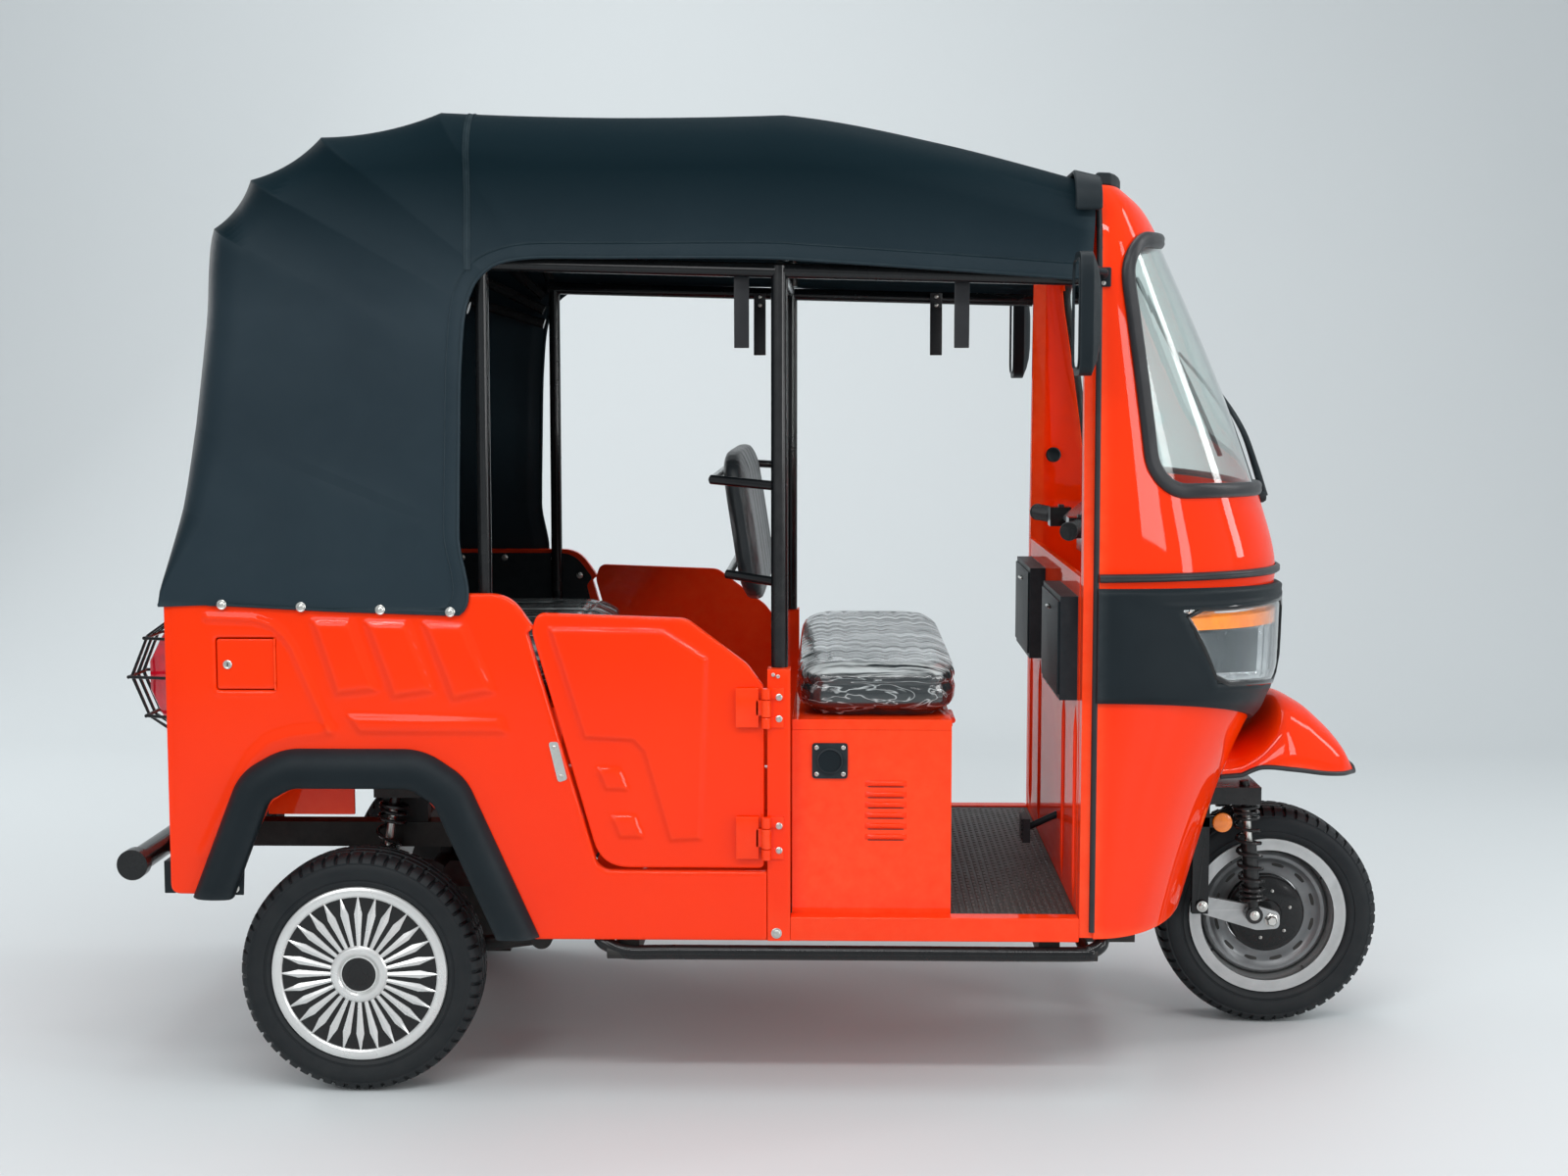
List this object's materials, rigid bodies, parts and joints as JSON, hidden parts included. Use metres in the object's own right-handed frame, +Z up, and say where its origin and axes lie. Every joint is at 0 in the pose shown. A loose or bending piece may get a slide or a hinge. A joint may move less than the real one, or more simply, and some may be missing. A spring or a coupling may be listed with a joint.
{
  "type": "auto rickshaw",
  "caption": "Three-wheeled passenger vehicle with an open-sided cab, raked front cowl, fabric canopy, low side doors, bench seat, and a leading-link front fork.",
  "frame": {"origin": "on the ground under the middle of the overall length, on the centre plane", "axes": "+X forward, +Y to the vehicle's left, +Z up"},
  "size_m": [2.5434, 1.504, 1.872],
  "materials": {
    "chassis": "satin black chassis paint",
    "paint": "gloss orange-red body paint",
    "canopy_cloth": "coated dark teal-grey canopy cloth with a slight sheen",
    "rubber_mat": "black moulded rubber",
    "seat_vinyl": "black vinyl under a clear film",
    "black_plastic": "black moulded plastic",
    "lens_red": "red lens",
    "lens_clear": "clear lens over a bright reflector",
    "screen_glass": "clear laminated glass",
    "tyre_rubber": "black tyre rubber",
    "steel_silver": "silver wheel paint",
    "cover_silver": "silver-painted cover with black between its blades",
    "wire_black": "black coated wire",
    "mirror_case": "black mirror case"
  },
  "bodies": {
    "vehicle": {"chassis_frame": "chassis", "floor_pan": "paint", "floor_mat": "rubber_mat", "side_panel_right": "paint", "side_panel_left": "paint", "tail_panel": "paint", "rear_deck": "paint", "passenger_seat": "seat_vinyl", "hinge_posts": "paint", "roof_frame": "chassis", "roof_bows": "chassis", "canopy": "canopy_cloth", "head_visor": "black_plastic", "cab_shell": "paint", "windscreen": "screen_glass", "front_mask": "black_plastic", "headlights": "lens_clear", "front_fender": "paint", "dashboard": "black_plastic", "seat_box": "paint", "driver_backrest": "seat_vinyl", "rear_bumper": "chassis", "tail_lamps": "lens_red", "lamp_guards": "wire_black", "rear_axle": "chassis", "rear_dampers": "chassis", "wheel_flares": "black_plastic", "mirrors": "mirror_case", "hand_straps": "black_plastic"},
    "door_right": {"door_right": "paint"},
    "door_left": {"door_left": "paint"},
    "charge_flap": {"charge_flap": "paint"},
    "seat_lid": {"seat_lid": "paint", "driver_cushion": "seat_vinyl"},
    "steering": {"front_fork": "chassis", "front_dampers": "chassis", "handlebar": "black_plastic"},
    "front_wheel": {"front_tyre": "tyre_rubber", "front_rim": "steel_silver"},
    "rear_wheel_right": {"rear_tyre_right": "tyre_rubber", "rear_rim_right": "steel_silver", "wheel_cover_right": "cover_silver"},
    "rear_wheel_left": {"rear_tyre_left": "tyre_rubber", "rear_rim_left": "steel_silver", "wheel_cover_left": "cover_silver"}
  },
  "joints": [
    {"name": "steering_turn", "type": "hinge", "parent": "vehicle", "child": "steering", "pos_m": [0.84287, 0, 0.6], "axis": [-0.342, 0, 0.9397], "range_deg": [-40, 40]},
    {"name": "front_wheel_spin", "type": "hinge", "parent": "steering", "child": "front_wheel", "pos_m": [1.03825, 0, 0.2335], "axis": [0, 1, 0], "continuous": true},
    {"name": "rear_wheel_right_spin", "type": "hinge", "parent": "vehicle", "child": "rear_wheel_right", "pos_m": [-0.80175, -0.495, 0.2335], "axis": [0, 1, 0], "continuous": true},
    {"name": "rear_wheel_left_spin", "type": "hinge", "parent": "vehicle", "child": "rear_wheel_left", "pos_m": [-0.80175, 0.495, 0.2335], "axis": [0, 1, 0], "continuous": true},
    {"name": "door_right_swing", "type": "hinge", "parent": "vehicle", "child": "door_right", "pos_m": [-0.01675, -0.579, 0.63], "axis": [0, 0, 1], "range_deg": [0, 100]},
    {"name": "door_left_swing", "type": "hinge", "parent": "vehicle", "child": "door_left", "pos_m": [-0.01675, 0.579, 0.63], "axis": [0, 0, -1], "range_deg": [0, 100]},
    {"name": "seat_lid_tilt", "type": "hinge", "parent": "vehicle", "child": "seat_lid", "pos_m": [0.34325, 0, 0.708], "axis": [0, 1, 0], "range_deg": [0, 60]},
    {"name": "charge_flap_swing", "type": "hinge", "parent": "vehicle", "child": "charge_flap", "pos_m": [-0.94675, -0.573, 0.8365], "axis": [0, 0, 1], "range_deg": [0, 100]}
  ]
}
